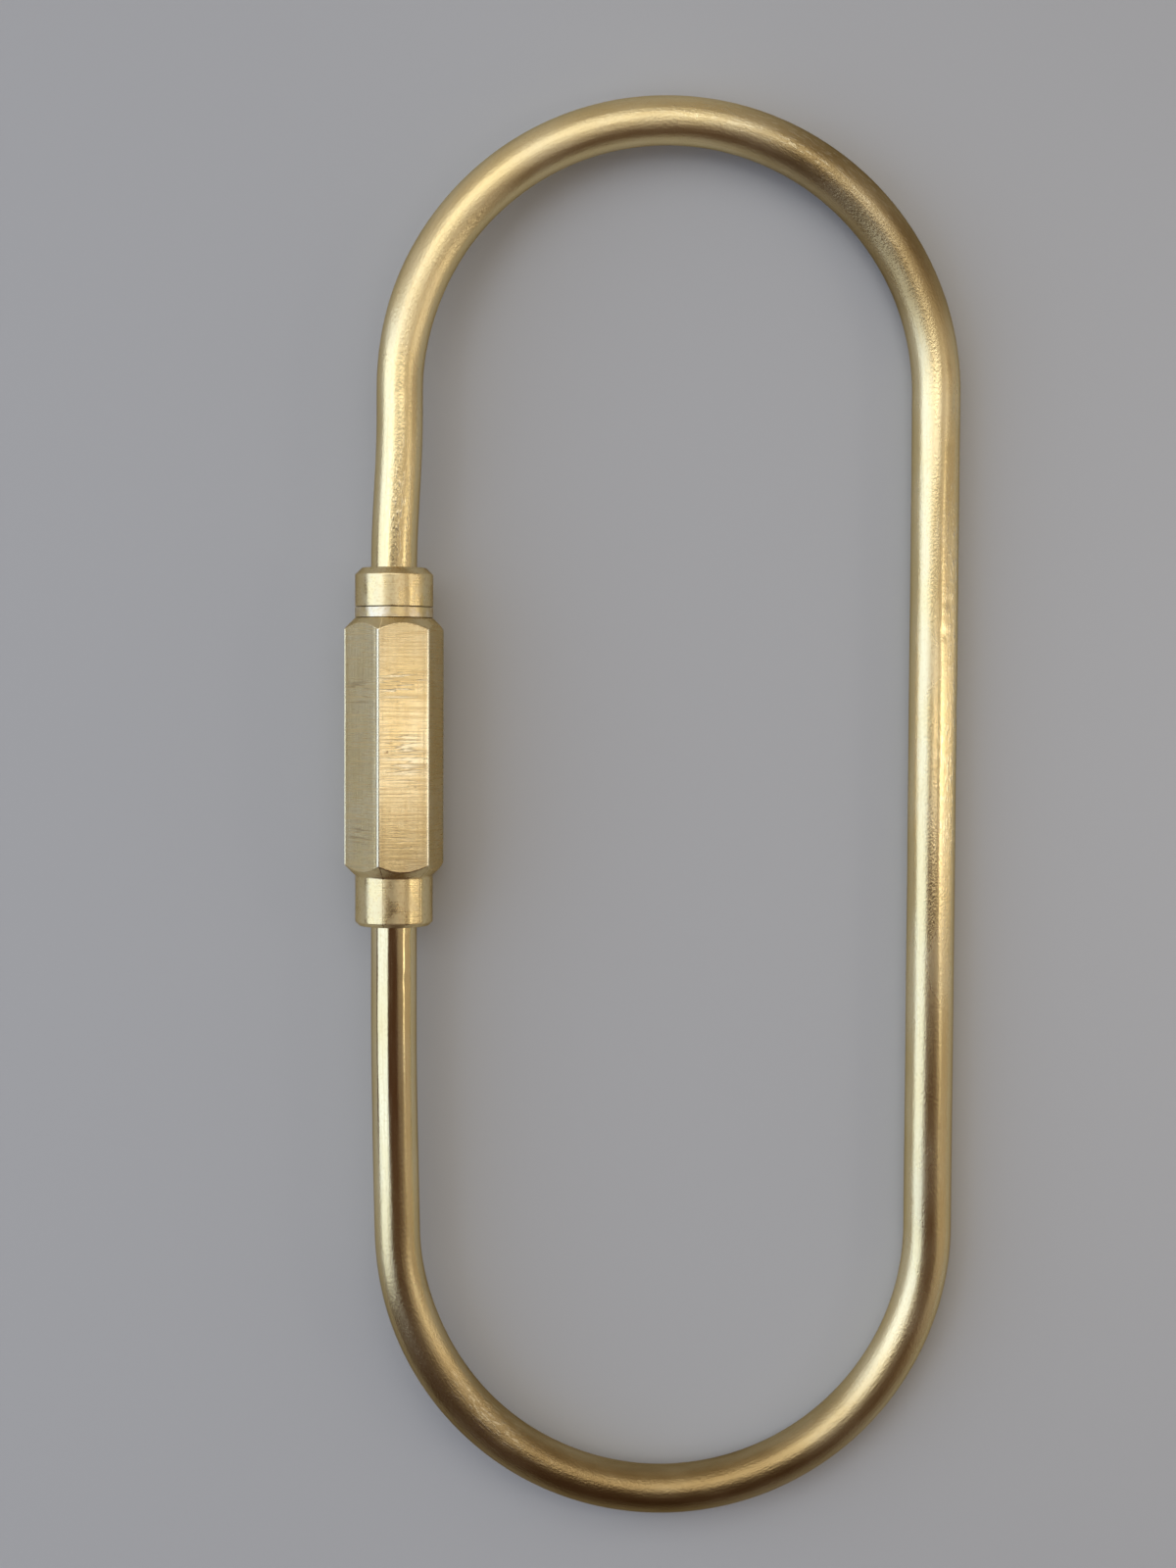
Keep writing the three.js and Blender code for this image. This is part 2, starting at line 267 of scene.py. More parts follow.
def rod_stations():
    """Distances of the rings of points: close together on the two threads."""
    thread_up = gate_y(UPPER_THREAD_END) - gate_y(UPPER_END)
    thread_down = ROD_LENGTH - (LOWER_THREAD_END - LOWER_END)
    first = np.arange(0, thread_up + PAST_THREAD, THREAD_STEP)
    plain_end = thread_down - PAST_THREAD
    plain = np.linspace(first[-1], plain_end, int((thread_down - thread_up) / PLAIN_STEP))
    last = np.linspace(plain[-1], ROD_LENGTH, int((ROD_LENGTH - plain[-1]) / THREAD_STEP))
    return np.concatenate([first, plain[1:], last[1:]])


NECK_REACH = 0.2    # how far up into the stop collar the neck goes


def rod_radius(distance, y, angle):
    """The rod's radius at each station and angle: threaded, turned, tapered or full."""
    into_bend = np.minimum(distance - BENDS_AT[0], BENDS_AT[3] - distance)
    fullness = smoothstep(into_bend, 0, TAPER_LENGTH)
    radius = TURNED_RADIUS + (ROD_RADIUS - TURNED_RADIUS) * fullness
    radius = np.repeat(radius[:, None], len(angle), 1)
    thread = thread_radius(angle[None, :], y[:, None])
    upper_stop = gate_y(UPPER_THREAD_END)
    upper = thread + (NECK_RADIUS - thread) * smoothstep(y, upper_stop - RUN_OUT, upper_stop)[:, None]
    at_upper = (distance < UPPER_SIDE) & (y < GATE_TOP + NECK_REACH)
    radius = np.where(at_upper[:, None], upper, radius)
    lower_stop = gate_y(LOWER_THREAD_END)
    lower = thread + (TURNED_RADIUS - thread) * smoothstep(-y, -lower_stop - RUN_OUT, -lower_stop)[:, None]
    at_lower = (distance > BENDS_AT[3]) & (y > lower_stop)
    radius = np.where(at_lower[:, None], lower, radius)
    from_end = np.minimum(distance, ROD_LENGTH - distance)[:, None]
    return np.minimum(radius, TURNED_RADIUS - THREAD_DEPTH + from_end)


def spot(distance, angle, at, turn, length, width):
    """Squared distance from a spot on the rod, as shares of the spot's length and width."""
    run = ((distance - at) / length) ** 2
    spread = (turned_from(angle, turn) * ROD_RADIUS / width) ** 2
    return run[:, None] + spread[None, :]


# Small dents in the rod: distance along it, angle around it from the top toward the ring's inside
# in degrees, length and width, and depth.
DENTS = [
    (71.0, -44, 1.2, 0.30, 0.045),
    (68.7, -35, 0.5, 0.35, 0.035),
    (73.6, -30, 0.3, 0.50, 0.035),
    (83.4, -32, 0.3, 0.50, 0.030),
    (85.4, -14, 0.4, 0.45, 0.040),
    (90.0, -75, 0.6, 0.50, 0.030),
    (160.5, 12, 0.8, 0.70, 0.020),
    (162.6, 24, 0.7, 0.50, 0.018),
    (165.0, 5, 0.9, 0.60, 0.014),
    (191.4, 40, 0.35, 0.40, 0.022),
    (193.8, 52, 0.3, 0.50, 0.030),
    (17.5, 8, 0.6, 0.50, 0.014),
    (12.4, 18, 0.5, 0.40, 0.014),
]


def dented(radius, distance, angle):
    """The radius with the dents pressed into it."""
    for at, turn, length, width, depth in DENTS:
        radius = radius - depth * np.exp(-2 * spot(distance, angle, at, turn, length, width))
    return radius


# The flat worn on the bare side: the distances where it starts and ends, the lengths over which it
# deepens and fades, its angle as above, its depth, and how softly it meets the round.
FLAT_START, FLAT_END = 70.0, 112.0
FLAT_FADES = (9, 12)
FLAT_TURN = -34
FLAT_DEPTH = 0.10
FLAT_SOFTNESS = 0.05
LEAST_COSINE = 0.2      # keeps the far side of the rod clear of the flat
MOST_GAP = 30           # keeps the exponential finite


def worn_flat(radius, distance, angle):
    """The radius cut back softly to a flat face where that lies inside the round."""
    reach = between(distance, FLAT_START, FLAT_END, *FLAT_FADES)
    cosine = np.maximum(np.cos(turned_from(angle, FLAT_TURN)), LEAST_COSINE)
    height = (ROD_RADIUS - FLAT_DEPTH * reach[:, None]) / cosine[None, :]
    gap = np.clip((height - radius) / FLAT_SOFTNESS, -MOST_GAP, MOST_GAP)
    return radius - FLAT_SOFTNESS * np.log1p(np.exp(-gap))


def wavy(lay, size, height):
    """Low unevenness of a surface, read at each point of the straight bar."""
    places = lay.reshape(-1, 3) / size
    values = np.array([noise.noise(place) for place in places.tolist()])
    return height * values.reshape(lay.shape[:2])


NUDGE = 0.01                        # the step that gives the rod's direction
ROD_WAVES = np.array([3, 3, 7.0])   # the size of its low unevenness across it and along it
ROD_WAVE_HEIGHT = 0.012
EVEN_ENDS = (5, 13)                 # lengths at its upper and lower ends that have no waves
WAVES_FADE = 2
UPPER_BEND, LOWER_BEND = 0, 2       # the places in BENDS_AT where each bend starts
UPPER_MATTE_FADE = 6
LOWER_MATTE_FADE = 14


def make_rod():
    """The bent rod with its two threaded ends. The seam of its skin is underneath."""
    distance = rod_stations()
    x, y = centre_line(distance)
    ahead = centre_line(np.minimum(distance + NUDGE, ROD_LENGTH))
    behind = centre_line(np.maximum(distance - NUDGE, 0))
    run = np.stack([ahead[0] - behind[0], ahead[1] - behind[1]], -1)
    run /= np.linalg.norm(run, axis=1, keepdims=True)
    angle = np.arange(ROD_COLUMNS) * TAU / ROD_COLUMNS + math.pi
    sine, cosine = np.sin(angle), np.cos(angle)
    radius = rod_radius(distance, y, angle)
    lay = np.empty(radius.shape + (3,))
    lay[..., 0] = radius * sine
    lay[..., 1] = radius * cosine
    lay[..., 2] = distance[:, None]
    from_ends = np.minimum(distance - EVEN_ENDS[0], ROD_LENGTH - EVEN_ENDS[1] - distance)
    uneven = smoothstep(from_ends, 0, WAVES_FADE)[:, None]
    radius = radius + uneven * wavy(lay, ROD_WAVES, ROD_WAVE_HEIGHT)
    radius = worn_flat(radius, distance, angle)
    radius = dented(radius, distance, angle)
    points = np.empty_like(lay)
    points[..., 0] = x[:, None] + radius * sine * run[:, 1:2]
    points[..., 1] = y[:, None] - radius * sine * run[:, 0:1]
    points[..., 2] = radius * cosine
    around = np.arange(ROD_COLUMNS + 1) * TAU * ROD_RADIUS / ROD_COLUMNS
    upper_matte = over_bend(distance, UPPER_BEND, UPPER_MATTE_FADE)
    lower_matte = over_bend(distance, LOWER_BEND, LOWER_MATTE_FADE)
    marks = {
        "polish": rod_polish(distance, y),
        "scuff": rod_scuff(distance, angle),
        "matte": upper_matte + lower_matte,
        # painted shade laid on the two bends
        "painted_shade": rod_painted_shade(distance),
    }
    return skin("wire_loop_detail", points, lay, around, distance, False, marks)


def over_bend(distance, bend, fade):
    """1 over one of the two bends, fading away inside both of its ends."""
    return between(distance, BENDS_AT[bend], BENDS_AT[bend + 1], fade, fade)[:, None]


# Stretches of the two bends darkened with painted shade: the distance at each one's middle, its reach, its
# strength.
PAINTED_SHADE_STRETCHES = [
    (58.0, 13.0, 0.95),
    (153.5, 26.0, 1.0),
]
PAINTED_SHADE_CORE = 0.3    # the share of a stretch's reach that gets the painted shade in full


def rod_painted_shade(distance):
    """How much painted shade darkens the rod, 0 to 1."""
    stretches = [
        strength * (1 - smoothstep(np.abs(distance - middle), PAINTED_SHADE_CORE * reach, reach))
        for middle, reach, strength in PAINTED_SHADE_STRETCHES
    ]
    return np.maximum.reduce(stretches)[:, None]


# Where the turned ends' polish fades, as distances below and above the ring's middle.
LOWER_POLISH = (15, 29)
UPPER_POLISH = (15.5, 22)
UPPER_SHINE = 0.55        # the upper end is polished less than the lower one
POLISH_INTO_BEND = 6


def rod_polish(distance, y):
    """How far the rod is polished, from 0, satin, to 1: only its turned ends are."""
    in_lower = distance > BENDS_AT[3] - POLISH_INTO_BEND
    lower = np.where(in_lower, 1 - smoothstep(-y, *LOWER_POLISH), 0)
    in_upper = distance < BENDS_AT[0]
    upper = np.where(in_upper, UPPER_SHINE * (1 - smoothstep(y, *UPPER_POLISH)), 0)
    return np.maximum(lower, upper)[:, None]


# Worn stretches of the rod: distance, angle from the top in degrees, length, width, strength.
SCUFFS = [
    (82.0, -45, 7.0, 0.9, 1.0),
    (94.0, -40, 9.0, 0.9, 0.8),
    (162.0, 15, 3.5, 1.1, 0.55),
    (10.5, 15, 4.0, 0.8, 0.8),
    (50.0, -20, 10.0, 1.0, 0.5),
]


def rod_scuff(distance, angle):
    """How worn the rod is at each station and angle, 0 to 1."""
    worn = np.zeros((len(distance), len(angle)))
    for at, turn, length, width, strength in SCUFFS:
        worn = np.maximum(worn, strength * np.exp(-spot(distance, angle, at, turn, length, width)))
    return worn


# ------------------------------------------------------------------ pieces on the gate's axis

GATE_WAVES = 2.0                # the size of the low unevenness of the pieces on the gate
# The longest step between two rows of each piece, and the height of its unevenness:
COLLAR_STEP, COLLAR_WAVINESS = 0.25, 0.004
WASHER_STEP, WASHER_WAVINESS = 0.12, 0.006
SLEEVE_STEP, SLEEVE_WAVINESS = 0.3, 0.004


def lathe(name, profile, waviness):
    """A turned piece about the gate's axis. profile is closed [radius, y] pairs."""
    radius = np.array([r for r, _ in profile])[:, None]
    y = np.array([height for _, height in profile])[:, None]
    angle = np.arange(TURNED_COLUMNS) * TAU / TURNED_COLUMNS
    radius = np.repeat(radius, TURNED_COLUMNS, 1)
    y = np.repeat(y, TURNED_COLUMNS, 1)
    return gate_piece(name, radius, y, angle, waviness, {})


def gate_piece(name, radius, y, angle, waviness, marks):
    """A closed skin about the gate's axis from the radius and y at each row and column."""
    lay = np.stack([radius * np.sin(angle), radius * np.cos(angle), y], -1)
    radius = radius + wavy(lay, GATE_WAVES, waviness)
    points = np.stack([GATE_X + radius * np.sin(angle), y, radius * np.cos(angle)], -1)
    around = np.append(angle, angle[0] + TAU) * COLLAR_RADIUS
    steps = np.hypot(np.diff(radius[:, 0]), np.diff(y[:, 0]))
    along = np.append(0, np.cumsum(steps))
    return skin(name, points, lay, around, along, True, marks)


ARC = (0, 0.25, 0.5, 0.75, 1)   # shares of the way round a soft corner
HOLD = 0.8                      # how far past it a point holds each side, as a share of its reach


def soft_corners(outline, edge):
    """Each corner of a closed outline cut back by edge and rounded, with a point to hold each side."""
    corners = [np.array(point, float) for point in outline]
    rounded = []
    for i, corner in enumerate(corners):
        before = corners[i - 1] - corner
        after = corners[(i + 1) % len(corners)] - corner
        reach = min(edge, np.linalg.norm(before) / 3, np.linalg.norm(after) / 3)
        start = corner + before / np.linalg.norm(before) * reach
        end = corner + after / np.linalg.norm(after) * reach
        rounded.append(start + (start - corner) * HOLD)
        for t in ARC:
            rounded.append((1 - t) ** 2 * start + 2 * t * (1 - t) * corner + t ** 2 * end)
        rounded.append(end + (end - corner) * HOLD)
    return rounded


def filled(outline, step):
    """The closed outline with further points where two are more than step apart."""
    points = []
    for i, start in enumerate(outline):
        end = outline[(i + 1) % len(outline)]
        count = max(1, math.ceil(np.linalg.norm(end - start) / step))
        points.extend(start + (end - start) * k / count for k in range(count))
    return points


def make_stop_collar():
    """The short round collar, chamfered at its upper end."""
    low, high = collar_low.y, collar_high.y
    outline = [
        (COLLAR_BORE, low),
        (COLLAR_RADIUS, low),
        (COLLAR_RADIUS, high - COLLAR_CHAMFER),
        (COLLAR_RADIUS - COLLAR_CHAMFER, high),
        (COLLAR_BORE, high),
    ]
    profile = filled(soft_corners(outline, EDGE), COLLAR_STEP)
    return lathe("stop_collar_detail", profile, COLLAR_WAVINESS)


def make_washer():
    """The thin ring between the stop collar and the sleeve."""
    low, high = washer_low.y, washer_high.y
    outline = [
        (WASHER_BORE, low),
        (COLLAR_RADIUS, low),
        (COLLAR_RADIUS, high),
        (WASHER_BORE, high),
    ]
    profile = filled(soft_corners(outline, CRISP_EDGE), WASHER_STEP)
    return lathe("thrust_washer_detail", profile, WASHER_WAVINESS)


# ------------------------------------------------------------------ the sleeve

APOTHEM = ACROSS_FLATS / 2
SIXTH = math.pi / 3
CORNER_CENTRE = (APOTHEM - CORNER_RADIUS) / math.cos(SIXTH / 2)
FACET_AT = math.pi / 2 + rest_tilt - FACET_TURN     # the angle of one facet's middle
ACROSS_FACET = [-1, -0.96, -0.88, -0.72, -0.54, -0.36, -0.18, 0, 0.18, 0.36, 0.54, 0.72, 0.88, 0.96]
CORNER_TURNS = range(-30, 31, 10)   # degrees round the small radius of each corner
CORNER_HIGHLIGHT_BAND = (math.radians(27.6), math.radians(29.2))  # from a facet's middle: where the corners get a painted highlight


def hex_columns():
    """Angles of the sleeve's columns: close together round each corner and beside it."""
    half_facet = (APOTHEM - CORNER_RADIUS) * math.tan(SIXTH / 2)
    facet = [math.atan2(half_facet * share, APOTHEM) for share in ACROSS_FACET]
    corner = []
    for turn in map(math.radians, CORNER_TURNS):
        x = CORNER_CENTRE + CORNER_RADIUS * math.cos(turn)
        corner.append(SIXTH / 2 + math.atan2(CORNER_RADIUS * math.sin(turn), x))
    return np.array([FACET_AT + side * TAU / 6 + part for side in range(6) for part in facet + corner])


def from_facet_middle(angle):
    """The angle from the middle of the nearest facet."""
    return (angle - FACET_AT + SIXTH / 2) % SIXTH - SIXTH / 2


def corner_highlight_share(angle):
    """How close each column is to a corner of the hexagon, 0 to 1: the share of painted highlight there.
    """
    return smoothstep(np.abs(from_facet_middle(angle)), *CORNER_HIGHLIGHT_BAND)[None, :]


# Groups of scratches on the sleeve: angle about the axis from the top in degrees, distance below
# the sleeve's upper end, spread around and along in mm, and strength.
SCRATCHES = [
    (12, 4.2, 1.6, 1.1, 1.0),
    (16, 8.6, 1.5, 2.0, 0.7),
    (10, 14.0, 1.2, 1.6, 0.35),
    (-46, 4.6, 1.2, 0.8, -0.9),
    (-46, 13.4, 1.2, 0.9, -0.7),
]


def scratched(angle, below):
    """Strength of the scratches at each row and column: bright above 0, dark below."""
    strength = np.zeros(below.shape)
    for turn, at, width, length, amount in SCRATCHES:
        spread = (turned_from(angle, turn) * APOTHEM / width) ** 2
        strength = strength + amount * np.exp(-spread[None, :] - ((below - at) / length) ** 2)
    return strength


def hex_radius(angle):
    """Distance from the axis to the hexagon with rounded corners."""
    from_facet = from_facet_middle(angle)
    flat = APOTHEM / np.cos(from_facet)
    past = SIXTH / 2 - np.abs(from_facet)
    reach = np.sqrt(np.maximum(CORNER_RADIUS ** 2 - (CORNER_CENTRE * np.sin(past)) ** 2, 0))
    return np.where(reach > 0, np.minimum(flat, CORNER_CENTRE * np.cos(past) + reach), flat)


# Where the rows of the sleeve's skin lie. The functions after these values give them as (radius, y),
# and either can vary from column to column.
EDGE_CUT = 0.3                  # share of EDGE from a corner to the point that softens it
ACROSS_END = (0.1, 0.5, 0.9)    # shares of the way from the bore to the collar's radius
UP_CHAMFER = (0.04, 0.2, 0.4, 0.6, 0.8)
CHAMFER_RIM = (0.06, 0.03)      # distances back from the chamfer's rim
FACET_RIM = (0.03, 0.07)        # and from the same rim along the facets
RIM_CUT = 0.008                 # how far the rim itself is cut back
FACET_ROWS = 100
UNDER_HEX = (0.01, 0.05)        # distances below the hexagon where the lower collar starts
PLAIN_BORE_ROWS = 5


def upper_end_rows(top):
    """From the bore's upper edge outward over the sleeve's upper end."""
    rows = [
        (SLEEVE_BORE, top - EDGE),
        (SLEEVE_BORE + EDGE * EDGE_CUT, top - EDGE * EDGE_CUT),
        (SLEEVE_BORE + EDGE, top),
    ]
    for share in ACROSS_END:
        rows.append((SLEEVE_BORE + (COLLAR_RADIUS - SLEEVE_BORE) * share, top))
    rows.append((COLLAR_RADIUS - EDGE, top))
    rows.append((COLLAR_RADIUS, top - EDGE * EDGE_CUT))
    return rows


def chamfer_rows(facet, depth, edge_y, direction):
    """From one end of the hexagon outward over its chamfer."""
    rows = []
    for share in UP_CHAMFER:
        rows.append((COLLAR_RADIUS + depth * share, edge_y + direction * depth * share))
    for back in CHAMFER_RIM:
        rows.append((facet - back, edge_y + direction * (depth - back)))
    return rows


def facet_rows(facet, high, low):
    """Down the facets, between their chamfers."""
    rows = [(facet - RIM_CUT, high)]
    for back in FACET_RIM:
        rows.append((facet, high - back))
    for share in np.linspace(0, 1, FACET_ROWS)[1:-1]:
        rows.append((facet, high + (low - high) * share))
    for back in reversed(FACET_RIM):
        rows.append((facet, low + back))
    rows.append((facet - RIM_CUT, low))
    return rows


def lower_collar_rows(hex_bottom, bottom):
    """Down the lower collar, over its end and the countersink, then up a hollow cone behind it.

    The cone comes from closing the outline. It is hidden inside the sleeve.
    """
    outline = [
        (COLLAR_RADIUS, hex_bottom - UNDER_HEX[1]),
        (COLLAR_RADIUS, bottom + SLEEVE_COLLAR_CHAMFER),
        (COLLAR_RADIUS - SLEEVE_COLLAR_CHAMFER, bottom),
        (SLEEVE_BORE + COUNTERSINK, bottom),
        (SLEEVE_BORE, bottom + COUNTERSINK),
        (SLEEVE_BORE, gate_y(SLEEVE_THREAD[1])),
    ]
    per_corner = len(ARC) + 2
    softened = soft_corners(outline, EDGE)[per_corner - 1:-per_corner]
    rows = [(COLLAR_RADIUS, hex_bottom - UNDER_HEX[0])]
    rows += [(radius, y) for radius, y in filled(softened, SLEEVE_STEP)[:-1]]
    return rows


def bore_rows(angle, top):
    """Up the thread, which grows in and fades out, and on up the plain bore."""
    thread_top, thread_bottom = (gate_y(along) for along in SLEEVE_THREAD)
    rows = []
    for y in np.arange(thread_bottom, thread_top, THREAD_STEP):
        lead = max(thread_top - y, 0)
        entry = SLEEVE_BORE - np.minimum(y - thread_bottom, lead)
        rows.append((np.maximum(thread_radius(angle, y, THREAD_CLEARANCE), entry), y))
    for y in np.linspace(thread_top, top - EDGE, PLAIN_BORE_ROWS)[:-1]:
        rows.append((SLEEVE_BORE, y))
    return rows


def make_sleeve():
    """The hexagon with its two chamfered ends, the lower collar, and the bore with its thread."""
    top, bottom = sleeve_high.y, sleeve_low.y
    hex_bottom = top - HEX_LENGTH
    angle = hex_columns()
    facet = hex_radius(angle)
    depth = facet - COLLAR_RADIUS
    rows = upper_end_rows(top) + chamfer_rows(facet, depth, top, -1)
    facets_from = len(rows)
    rows += facet_rows(facet, top - depth, hex_bottom + depth)
    facets_to = len(rows) - 1
    rows += chamfer_rows(facet, depth, hex_bottom, 1)[::-1]
    rows += lower_collar_rows(hex_bottom, bottom)
    rows += bore_rows(angle, top)
    radius = np.array([np.broadcast_to(r, angle.shape) for r, _ in rows])
    y = np.array([np.broadcast_to(height, angle.shape) for _, height in rows])
    # corner carries the painted highlight along the hexagon's corners
    marks = {"corner": corner_highlight_share(angle), "scratched": scratched(angle, top - y)}
    piece = gate_piece("hex_sleeve_detail", radius, y, angle, SLEEVE_WAVINESS, marks)
    for face in piece.data.polygons:
        row_of_face = face.index // len(angle)
        face.material_index = 0 if facets_from <= row_of_face < facets_to else 1
    return piece


# ------------------------------------------------------------------ materials

MIX_A, MIX_B, MIX_RESULT = 6, 7, 2    # the colour sockets of a Mix node


class Graph:
    """A material's node tree, with short calls for the nodes that the brasses share."""

    def __init__(self, name):
        self.material = bpy.data.materials.new(name)
        self.material.use_nodes = True
        self.nodes = self.material.node_tree.nodes
        self.links = self.material.node_tree.links
        self.shader = self.nodes["Principled BSDF"]

    def add(self, kind, **settings):
        node = self.nodes.new(kind)
        for key, value in settings.items():
            setattr(node, key, value)
        return node

    def join(self, source, socket):
        """Links another node's output to the socket, or sets the socket to a plain value."""
        if hasattr(source, "links"):
            self.links.new(source, socket)
        else:
            socket.default_value = source

    def stored(self, name, output):
        """What skin() stored in the mesh under this name."""
        return self.add("ShaderNodeAttribute", attribute_name=name).outputs[output]

    def scaled(self, vector, scale):
        node = self.add("ShaderNodeVectorMath", operation="MULTIPLY")
        self.join(vector, node.inputs[0])
        node.inputs[1].default_value = scale
        return node.outputs[0]

    def cloud(self, vector, scale, detail=2.0, roughness=0.5):
        """Noise read at a place on the bar, which scale stretches, in features per millimetre."""
        node = self.add("ShaderNodeTexNoise")
        self.join(self.scaled(vector, scale), node.inputs["Vector"])
        node.inputs["Scale"].default_value = 1
        node.inputs["Detail"].default_value = detail
        node.inputs["Roughness"].default_value = roughness
        return node.outputs["Fac"]

    def ranged(self, value, low, high, to_low, to_high):
        """The value eased from between low and high to between to_low and to_high."""
        node = self.add("ShaderNodeMapRange", interpolation_type="SMOOTHSTEP")
        for source, socket in zip((value, low, high, to_low, to_high), node.inputs):
            self.join(source, socket)
        return node.outputs[0]

    def math(self, operation, a, b, limit=False):
        node = self.add("ShaderNodeMath", operation=operation, use_clamp=limit)
        self.join(a, node.inputs[0])
        self.join(b, node.inputs[1])
        return node.outputs[0]

    def blend(self, share, a, b):
        """Colour a, turning into b as share goes from 0 to 1."""
        node = self.add("ShaderNodeMix", data_type="RGBA")
        self.join(share, node.inputs["Factor"])
        self.join(a, node.inputs[MIX_A])
        self.join(b, node.inputs[MIX_B])
        return node.outputs[MIX_RESULT]

    def bump(self, height, distance, normal=None):
        """Relief that is distance millimetres high where height is 1."""
        node = self.add("ShaderNodeBump")
        node.inputs["Distance"].default_value = distance * MM
        self.join(height, node.inputs["Height"])
        if normal is not None:
            self.join(normal, node.inputs["Normal"])
        return node.outputs[0]


BRASS = (0.86, 0.70, 0.37, 1)
PALE_BRASS = (0.90, 0.77, 0.47, 1)
DEEP_BRASS = (0.74, 0.55, 0.26, 1)
# bright brass of the worn scuffs and scratches, and of the painted highlight on the sleeve's corners
WORN_BRASS_AND_HIGHLIGHT = (0.97, 0.90, 0.66, 1)
FACED_BRASS = (0.92, 0.82, 0.62, 1)
# painted shade: the dark brown laid over the two bends
PAINTED_SHADE_BROWN = (0.30, 0.20, 0.08, 1)
STAIN = (0.42, 0.29, 0.15, 1)
EDGE_TINT = (0.62, 0.54, 0.42, 1)
ALONG, AROUND = 0, 0.25     # the two directions of a metal's grain, as turns


def metal(graph, anisotropy, turn):
    """Metal whose grain runs ALONG the bar or AROUND it."""
    shader = graph.shader
    shader.inputs["Metallic"].default_value = 1
    shader.inputs["Specular Tint"].default_value = EDGE_TINT
    shader.inputs["Anisotropic"].default_value = anisotropy
    shader.inputs["Anisotropic Rotation"].default_value = turn
    tangent = graph.add("ShaderNodeTangent", direction_type="UV_MAP", uv_map="bar")
    graph.links.new(tangent.outputs[0], shader.inputs["Tangent"])


def rod_brass():
    """Drawn rod, satin with orange peel and streaks: polished by the gate, with painted shade in the
    bends.
    """
    graph = Graph("rod_brass_satin")
    metal(graph, 0.35, ALONG)
    place = graph.stored("lay", "Vector")
    polish = graph.stored("polish", "Fac")
    worn = graph.stored("scuff", "Fac")
    matte = graph.stored("matte", "Fac")
    # the share of painted shade on the bends
    painted_shade = graph.stored("painted_shade", "Fac")
    patches = graph.cloud(place, (0.5, 0.5, 0.16), 3)
    streaks = graph.cloud(place, (7.0, 7.0, 0.3), 3, 0.6)
    peel = graph.cloud(place, (8.0, 8.0, 5.5), 3, 0.6)
    specks = graph.cloud(place, (9.0, 9.0, 1.7), 1)
    marks = graph.math("MULTIPLY", worn, graph.ranged(specks, 0.52, 0.66, 0, 1))
    painted_shade_share = graph.math("MULTIPLY", painted_shade, graph.ranged(patches, 0.25, 0.75, 0.95, 0.6))
    tone = graph.blend(graph.ranged(patches, 0.35, 0.7, 0, 1), BRASS, PALE_BRASS)
    tone = graph.blend(graph.ranged(streaks, 0.5, 0.7, 0, 0.3), tone, DEEP_BRASS)
    tone = graph.blend(graph.ranged(peel, 0.5, 0.72, 0, 0.35), tone, DEEP_BRASS)
    # painted shade: the bends darkened toward dark brown
    tone = graph.blend(painted_shade_share, tone, PAINTED_SHADE_BROWN)
    tone = graph.blend(graph.math("MULTIPLY", marks, 0.7), tone, WORN_BRASS_AND_HIGHLIGHT)
    graph.join(tone, graph.shader.inputs["Base Color"])
    satin = graph.ranged(patches, 0.3, 0.7, 0.22, 0.29)
    satin = graph.math("ADD", satin, graph.math("MULTIPLY", matte, 0.08))
    gloss = graph.ranged(streaks, 0.35, 0.7, 0.10, 0.19)
    rough = graph.ranged(polish, 0.0, 1.0, satin, gloss)
    rough = graph.math("ADD", rough, graph.math("MULTIPLY", worn, 0.06))
    rough = graph.math("SUBTRACT", rough, graph.math("MULTIPLY", marks, 0.2), limit=True)
    graph.join(rough, graph.shader.inputs["Roughness"])
    dull = graph.ranged(polish, 0.0, 1.0, 1.0, 0.2)
    dull = graph.math("MULTIPLY", dull, graph.math("ADD", 1, matte))
    height = graph.math("ADD", peel, graph.math("MULTIPLY", streaks, 0.5))
    normal = graph.bump(graph.math("MULTIPLY", height, dull), 0.012)
    normal = graph.bump(marks, 0.007, normal)
    graph.join(normal, graph.shader.inputs["Normal"])
    return graph.material


def turned_brass(name, roughness, blotch, pale):
    """Turned on a lathe: fine lines around the piece, soft blotches of handling wear."""
    graph = Graph(name)
    metal(graph, 0.45, AROUND)
    place = graph.stored("lay", "Vector")
    lines = graph.cloud(place, (0.25, 0.25, 16.0), 2, 0.6)
    patches = graph.cloud(place, (1.1, 1.1, 0.9), 3)
    fine = graph.cloud(place, (6.0, 6.0, 6.0), 2)
    tone = graph.blend(graph.ranged(patches, 0.4, 0.62, 0, blotch), BRASS, pale)
    tone = graph.blend(graph.ranged(fine, 0.48, 0.68, 0, 0.5), tone, DEEP_BRASS)
    graph.join(tone, graph.shader.inputs["Base Color"])
    rough = graph.ranged(patches, 0.35, 0.65, roughness - 0.06, roughness + 0.05)
    graph.join(rough, graph.shader.inputs["Roughness"])
    height = graph.math("ADD", lines, graph.math("MULTIPLY", fine, 0.9))
    graph.join(graph.bump(height, 0.006), graph.shader.inputs["Normal"])
    return graph.material


